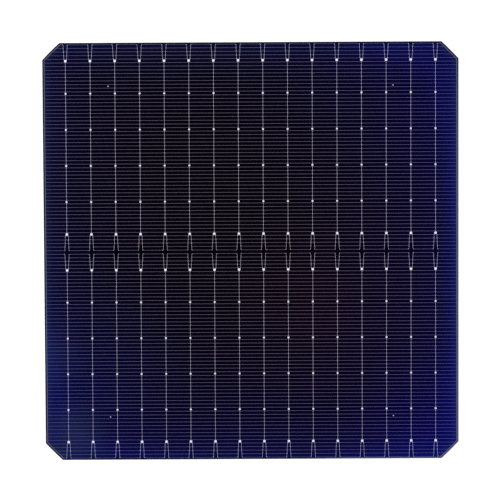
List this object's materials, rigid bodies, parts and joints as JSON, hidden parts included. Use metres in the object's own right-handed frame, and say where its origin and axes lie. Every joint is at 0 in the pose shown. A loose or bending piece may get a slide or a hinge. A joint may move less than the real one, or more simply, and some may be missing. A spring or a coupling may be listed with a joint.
{
  "type": "solar cell",
  "caption": "Thin pseudo-square silicon solar cell with a silver grid of fine fingers, slim busbars and small solder pads on both faces, laid out to be cut into halves.",
  "frame": {"origin": "under the middle of the cell, on the surface that its rear busbars lie on", "axes": "+Z out of the sunny side, +X along the fingers, +Y along the busbars"},
  "size_m": [0.1822, 0.1838, 0.0002],
  "materials": {
    "silicon": "textured monocrystalline silicon with a dark blue nitride coat",
    "front_silver": "matt fired silver paste",
    "rear_silver": "matt fired silver paste"
  },
  "bodies": {
    "root": {"wafer": "silicon", "front_fingers_upper": "front_silver", "front_fingers_lower": "front_silver", "front_busbar_01": "front_silver", "front_busbar_02": "front_silver", "front_busbar_03": "front_silver", "front_busbar_04": "front_silver", "front_busbar_05": "front_silver", "front_busbar_06": "front_silver", "front_busbar_07": "front_silver", "front_busbar_08": "front_silver", "front_busbar_09": "front_silver", "front_busbar_10": "front_silver", "front_busbar_11": "front_silver", "front_busbar_12": "front_silver", "front_busbar_13": "front_silver", "front_busbar_14": "front_silver", "front_busbar_15": "front_silver", "front_busbar_16": "front_silver", "front_alignment_dots": "front_silver", "rear_fingers_upper": "rear_silver", "rear_fingers_lower": "rear_silver", "rear_busbar_01": "rear_silver", "rear_busbar_02": "rear_silver", "rear_busbar_03": "rear_silver", "rear_busbar_04": "rear_silver", "rear_busbar_05": "rear_silver", "rear_busbar_06": "rear_silver", "rear_busbar_07": "rear_silver", "rear_busbar_08": "rear_silver", "rear_busbar_09": "rear_silver", "rear_busbar_10": "rear_silver", "rear_busbar_11": "rear_silver", "rear_busbar_12": "rear_silver", "rear_busbar_13": "rear_silver", "rear_busbar_14": "rear_silver", "rear_busbar_15": "rear_silver", "rear_busbar_16": "rear_silver"}
  },
  "joints": []
}
